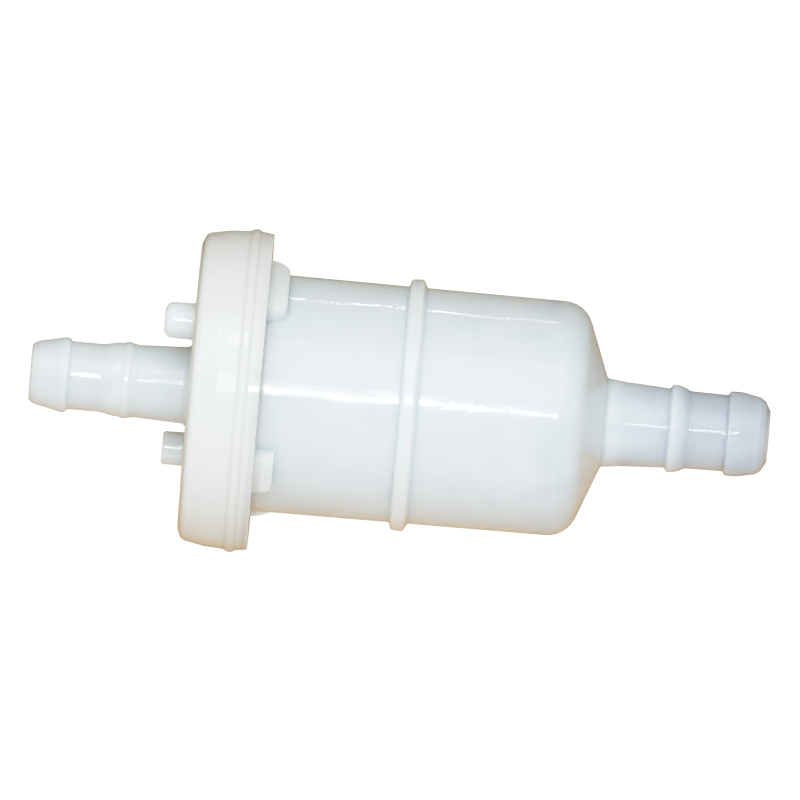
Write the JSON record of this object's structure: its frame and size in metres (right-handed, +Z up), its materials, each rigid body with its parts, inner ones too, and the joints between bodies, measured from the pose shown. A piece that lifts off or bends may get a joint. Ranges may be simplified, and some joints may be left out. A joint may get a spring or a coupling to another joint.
{
  "type": "fuel filter",
  "caption": "In-line fuel filter for a small engine: milky nylon canister with a flanged, welded end cap, a rib round the body and a barbed hose stem at each end, round a pleated paper element.",
  "frame": {"origin": "on the filter's axis, half-way between the two stem ends, which is the centre of its bounding box", "axes": "+X along the axis towards the inlet stem on the housing, -X towards the outlet stem on the cap, +Z up, -Y the side with the wide upper lug"},
  "size_m": [0.0926, 0.0406, 0.0406],
  "materials": {
    "nylon_body": "natural moulded nylon, milky, half gloss",
    "nylon_cap": "natural moulded nylon, cream where thick",
    "nylon_weld": "remelted nylon",
    "gasket_rubber": "moulded",
    "acetal": "moulded",
    "potting": "cured resin",
    "filter_paper": "resin-treated, folded",
    "clip_tinplate": "rolled tinplate"
  },
  "bodies": {
    "root": {"housing": "nylon_body", "cap": "nylon_cap", "weld_bead": "nylon_weld", "carrier_gasket": "gasket_rubber", "element_carrier": "acetal", "end_plate": "acetal", "outlet_potting": "potting", "inlet_potting": "potting", "pleated_paper": "filter_paper", "seam_clip": "clip_tinplate", "centre_tube": "acetal"}
  },
  "joints": []
}
